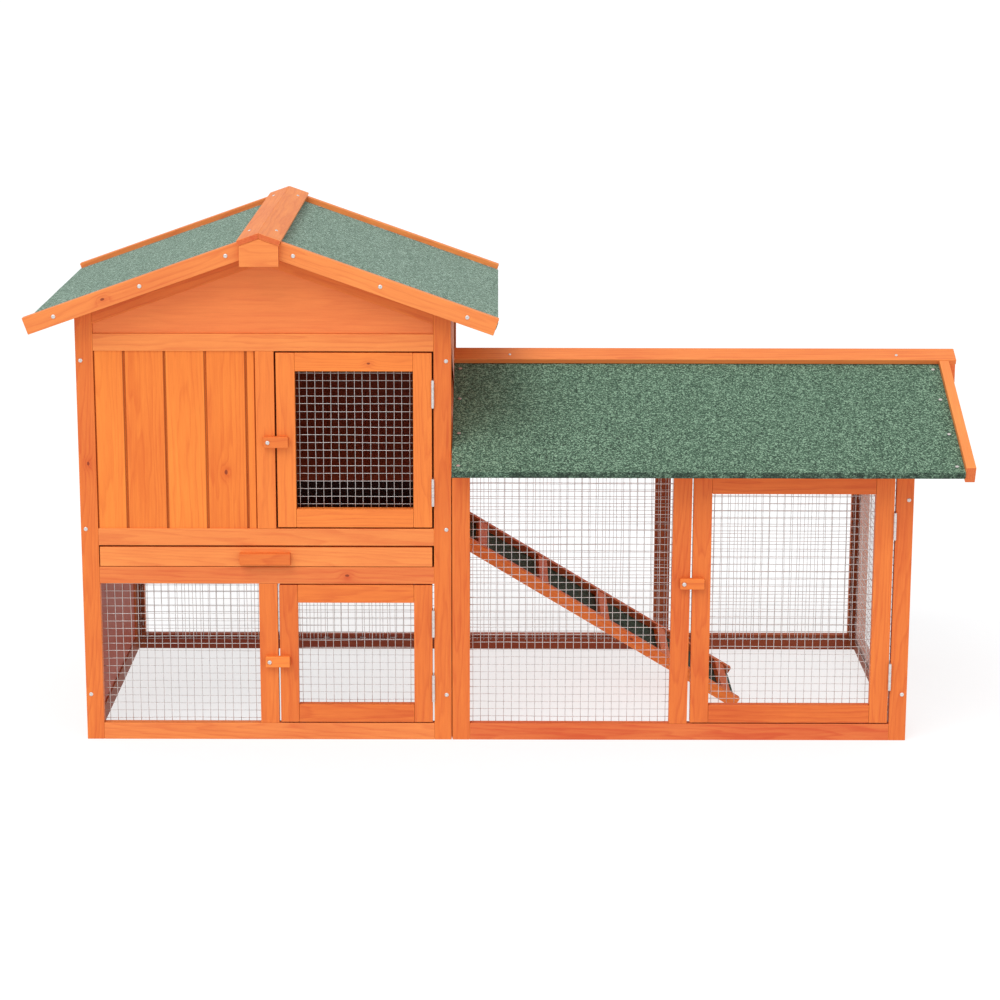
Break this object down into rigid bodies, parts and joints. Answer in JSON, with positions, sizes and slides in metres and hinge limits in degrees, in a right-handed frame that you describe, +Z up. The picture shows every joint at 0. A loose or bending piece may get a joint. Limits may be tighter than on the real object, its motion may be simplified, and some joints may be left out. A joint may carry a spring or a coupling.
{
  "type": "rabbit hutch with run",
  "caption": "Two-storey wooden rabbit hutch with an attached wire-mesh run, felted gable roofs, hinged mesh doors with turn buttons, a pull-out tray and an inside ramp.",
  "frame": {"origin": "on the floor under the middle of the whole hutch's bounding box", "axes": "+X from the house towards the run, +Y from the front towards the back, +Z up"},
  "size_m": [1.5258, 0.6776, 0.8445],
  "materials": {
    "framing_timber": "orange-stained fir, satin",
    "wall_board": "orange-stained fir boards, satin",
    "roofing_felt": "bitumen felt with green mineral granules, matte",
    "ramp_felt": "board faced with green mineral felt",
    "galvanised_wire": "galvanised welded wire",
    "zinc_hardware": "zinc plated",
    "tray_sheet": "dark brown paint on folded sheet"
  },
  "bodies": {
    "root": {"front_left_post": "framing_timber", "front_right_post": "framing_timber", "house_front_rails": "framing_timber", "centre_stiles": "framing_timber", "front_boards": "wall_board", "gable_panels": "wall_board", "house_rafters": "framing_timber", "house_back_posts": "framing_timber", "house_back_rails": "framing_timber", "back_boards": "wall_board", "left_side_frame": "framing_timber", "left_side_boards": "wall_board", "right_side_frame": "framing_timber", "right_side_boards": "wall_board", "house_front_mesh": "galvanised_wire", "house_back_mesh": "galvanised_wire", "tray_runners": "framing_timber", "house_roof_boards": "wall_board", "house_roof_felt": "roofing_felt", "house_barge_boards": "framing_timber", "house_ridge_cap": "framing_timber", "house_ridge_blocks": "framing_timber", "run_front_posts": "framing_timber", "run_front_rails": "framing_timber", "run_back_posts": "framing_timber", "run_back_rails": "framing_timber", "run_side_frame": "framing_timber", "run_rafters": "framing_timber", "run_gable_panel": "wall_board", "run_front_mesh": "galvanised_wire", "run_back_mesh": "galvanised_wire", "run_side_mesh": "galvanised_wire", "run_roof_boards": "wall_board", "run_roof_felt": "roofing_felt", "run_barge_boards": "framing_timber", "run_ridge_cap": "framing_timber", "run_ridge_block": "framing_timber", "frame_screws": "zinc_hardware", "felt_tacks": "zinc_hardware", "button_screws": "zinc_hardware", "hinge_fixed_leaves": "zinc_hardware", "hinge_pins": "zinc_hardware"},
    "upper_door": {"upper_door_frame": "framing_timber", "upper_door_mesh": "galvanised_wire", "upper_door_hinges": "zinc_hardware"},
    "lower_door": {"lower_door_frame": "framing_timber", "lower_door_mesh": "galvanised_wire", "lower_door_hinges": "zinc_hardware"},
    "run_door": {"run_door_frame": "framing_timber", "run_door_mesh": "galvanised_wire", "run_door_hinges": "zinc_hardware"},
    "upper_button": {"upper_turn_button": "framing_timber"},
    "lower_button": {"lower_turn_button": "framing_timber"},
    "run_button": {"run_turn_button": "framing_timber"},
    "tray": {"tray_front": "framing_timber", "tray_handle": "framing_timber", "tray_pan": "tray_sheet"},
    "ramp": {"ramp_deck": "ramp_felt", "ramp_rails": "framing_timber", "ramp_fittings": "zinc_hardware"}
  },
  "joints": [
    {"name": "upper_door_hinge", "type": "hinge", "parent": "root", "child": "upper_door", "pos_m": [-0.11559, -0.2801, 0.502], "axis": [0, 0, 1], "range_deg": [0, 105]},
    {"name": "lower_door_hinge", "type": "hinge", "parent": "root", "child": "lower_door", "pos_m": [-0.11559, -0.2801, 0.146], "axis": [0, 0, 1], "range_deg": [0, 165]},
    {"name": "run_door_hinge", "type": "hinge", "parent": "root", "child": "run_door", "pos_m": [0.63241, -0.2801, 0.238], "axis": [0, 0, 1], "range_deg": [0, 165]},
    {"name": "upper_button_turn", "type": "hinge", "parent": "root", "child": "upper_button", "pos_m": [-0.38059, -0.283, 0.5015], "axis": [0, -1, 0], "range_deg": [-90, 90]},
    {"name": "lower_button_turn", "type": "hinge", "parent": "root", "child": "lower_button", "pos_m": [-0.38309, -0.283, 0.135], "axis": [0, -1, 0], "range_deg": [-90, 90]},
    {"name": "run_button_turn", "type": "hinge", "parent": "root", "child": "run_button", "pos_m": [0.29241, -0.283, 0.268], "axis": [0, -1, 0], "range_deg": [-90, 90]},
    {"name": "tray_slide", "type": "slide", "parent": "root", "child": "tray", "axis": [0, -1, 0], "range_m": [0, 0.45]},
    {"name": "ramp_lift", "type": "hinge", "parent": "root", "child": "ramp", "pos_m": [-0.08319, 0.0225, 0.2816], "axis": [0, -1, 0], "range_deg": [0, 25]}
  ]
}
